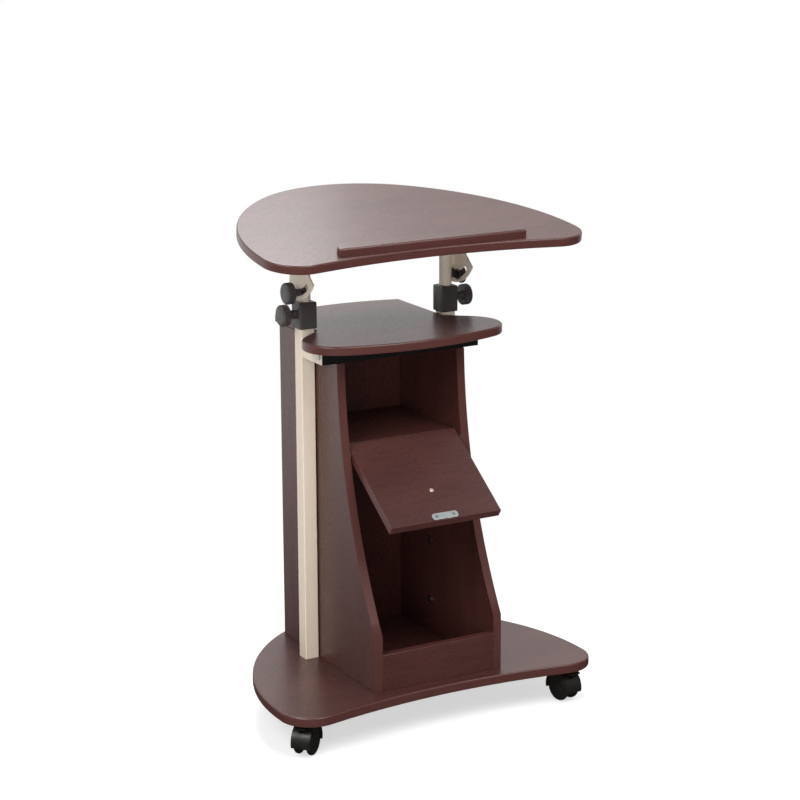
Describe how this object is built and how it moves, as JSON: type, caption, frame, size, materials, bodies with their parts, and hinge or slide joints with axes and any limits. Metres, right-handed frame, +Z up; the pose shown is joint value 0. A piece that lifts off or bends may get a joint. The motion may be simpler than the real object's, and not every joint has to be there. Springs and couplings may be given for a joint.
{
  "type": "rolling laptop desk",
  "caption": "Rolling laptop desk: a tilting, height-adjustable top on telescoping posts over a hutch with a flap door, on a shaped base with hooded twin casters.",
  "frame": {"origin": "on the floor, in the middle of the desk's footprint", "axes": "+Z up, +X to the right of someone who stands in front, -Y towards that person"},
  "size_m": [0.5838, 0.4504, 0.8524],
  "materials": {
    "espresso_laminate": "satin embossed wood-grain laminate",
    "beige_powder_coat": "satin champagne powder coat",
    "black_powder_coat": "satin black powder coat",
    "black_plastic": "moulded black plastic",
    "caster_plastic": "moulded black nylon, semi-gloss",
    "bright_steel": "zinc-plated steel",
    "nickel_plate": "nickel-plated magnet",
    "beech": "fluted beech dowel"
  },
  "bodies": {
    "root": {"base_panel": "espresso_laminate", "side_panel_left": "espresso_laminate", "side_panel_right": "espresso_laminate", "back_panel": "espresso_laminate", "lip_board": "espresso_laminate", "interior_shelf": "espresso_laminate", "mid_shelf": "espresso_laminate", "dowels": "beech", "post_left": "beige_powder_coat", "post_right": "beige_powder_coat", "post_plugs": "black_plastic", "post_fasteners": "bright_steel", "arm_left": "beige_powder_coat", "arm_right": "beige_powder_coat", "crossbar": "black_powder_coat", "arm_screws": "bright_steel", "collar_left": "black_plastic", "collar_right": "black_plastic", "hinge_bushes": "black_plastic", "caster_stems": "bright_steel"},
    "door": {"flap_door": "espresso_laminate", "door_pins": "bright_steel", "magnet_plate": "nickel_plate", "door_screws": "bright_steel", "door_knob": "espresso_laminate"},
    "carriage": {"inner_tube_left": "beige_powder_coat", "inner_tube_right": "beige_powder_coat", "tube_guides": "black_plastic", "pivot_block_left": "beige_powder_coat", "pivot_block_right": "beige_powder_coat", "pivot_pins": "bright_steel", "clamp_plates": "black_plastic", "tilt_studs": "bright_steel"},
    "table": {"tabletop": "espresso_laminate", "ledge": "espresso_laminate", "tilt_bracket_left": "beige_powder_coat", "tilt_bracket_right": "beige_powder_coat", "table_screws": "bright_steel"},
    "tilt_clamp_left": {"tilt_knob_left": "black_plastic"},
    "tilt_clamp_right": {"tilt_nut_right": "black_plastic"},
    "height_clamp_left": {"height_knob_left": "black_plastic", "height_stud_left": "bright_steel"},
    "height_clamp_right": {"height_knob_right": "black_plastic", "height_stud_right": "bright_steel"},
    "caster_fl": {"caster_hood_fl": "caster_plastic"},
    "wheels_fl": {"caster_wheels_fl": "caster_plastic", "caster_axle_fl": "bright_steel"},
    "caster_fr": {"caster_hood_fr": "caster_plastic"},
    "wheels_fr": {"caster_wheels_fr": "caster_plastic", "caster_axle_fr": "bright_steel"},
    "caster_rl": {"caster_hood_rl": "caster_plastic"},
    "wheels_rl": {"caster_wheels_rl": "caster_plastic", "caster_axle_rl": "bright_steel"},
    "caster_rr": {"caster_hood_rr": "caster_plastic"},
    "wheels_rr": {"caster_wheels_rr": "caster_plastic", "caster_axle_rr": "bright_steel"},
    "brake_fl": {"brake_lever_fl": "caster_plastic"},
    "brake_fr": {"brake_lever_fr": "caster_plastic"}
  },
  "joints": [
    {"name": "height_slide", "type": "slide", "parent": "root", "child": "carriage", "axis": [0, 0, 1], "range_m": [0, 0.29]},
    {"name": "tilt_hinge", "type": "hinge", "parent": "carriage", "child": "table", "pos_m": [0, 0.03329, 0.776], "axis": [1, 0, 0], "range_deg": [-7, 22]},
    {"name": "door_hinge", "type": "hinge", "parent": "root", "child": "door", "pos_m": [0, -0.06221, 0.4514], "axis": [1, 0, 0], "range_deg": [-125, 0]},
    {"name": "tilt_knob_turn_left", "type": "hinge", "parent": "carriage", "child": "tilt_clamp_left", "pos_m": [-0.1545, 0.01366, 0.71561], "axis": [-1, 0, 0], "range_deg": [0, 360]},
    {"name": "height_knob_turn_left", "type": "hinge", "parent": "root", "child": "height_clamp_left", "pos_m": [-0.159, 0.03329, 0.675], "axis": [-1, 0, 0], "range_deg": [0, 360]},
    {"name": "tilt_nut_turn_right", "type": "hinge", "parent": "carriage", "child": "tilt_clamp_right", "pos_m": [0.1545, 0.01366, 0.71561], "axis": [1, 0, 0], "range_deg": [0, 360]},
    {"name": "height_knob_turn_right", "type": "hinge", "parent": "root", "child": "height_clamp_right", "pos_m": [0.159, 0.03329, 0.675], "axis": [1, 0, 0], "range_deg": [0, 360]},
    {"name": "caster_swivel_fl", "type": "hinge", "parent": "root", "child": "caster_fl", "pos_m": [-0.2377, -0.17122, 0.047], "axis": [0, 0, 1], "continuous": true},
    {"name": "wheel_roll_fl", "type": "hinge", "parent": "caster_fl", "child": "wheels_fl", "pos_m": [-0.25149, -0.18279, 0.0245], "axis": [0.6428, -0.766, 0], "continuous": true},
    {"name": "caster_swivel_fr", "type": "hinge", "parent": "root", "child": "caster_fr", "pos_m": [0.2377, -0.17122, 0.047], "axis": [0, 0, 1], "continuous": true},
    {"name": "wheel_roll_fr", "type": "hinge", "parent": "caster_fr", "child": "wheels_fr", "pos_m": [0.23989, -0.18908, 0.0245], "axis": [0.9925, 0.1219, 0], "continuous": true},
    {"name": "caster_swivel_rl", "type": "hinge", "parent": "root", "child": "caster_rl", "pos_m": [-0.13, 0.10329, 0.047], "axis": [0, 0, 1], "continuous": true},
    {"name": "wheel_roll_rl", "type": "hinge", "parent": "caster_rl", "child": "wheels_rl", "pos_m": [-0.13845, 0.08739, 0.0245], "axis": [0.8829, -0.4695, 0], "continuous": true},
    {"name": "caster_swivel_rr", "type": "hinge", "parent": "root", "child": "caster_rr", "pos_m": [0.13, 0.10329, 0.047], "axis": [0, 0, 1], "continuous": true},
    {"name": "wheel_roll_rr", "type": "hinge", "parent": "caster_rr", "child": "wheels_rr", "pos_m": [0.12843, 0.08535, 0.0245], "axis": [0.9962, -0.0872, 0], "continuous": true},
    {"name": "brake_press_fl", "type": "hinge", "parent": "caster_fl", "child": "brake_fl", "pos_m": [-0.25992, -0.18986, 0.042], "axis": [0.6428, -0.766, 0], "range_deg": [0, 8]},
    {"name": "brake_press_fr", "type": "hinge", "parent": "caster_fr", "child": "brake_fr", "pos_m": [0.24123, -0.2, 0.042], "axis": [0.9925, 0.1219, 0], "range_deg": [0, 8]}
  ]
}
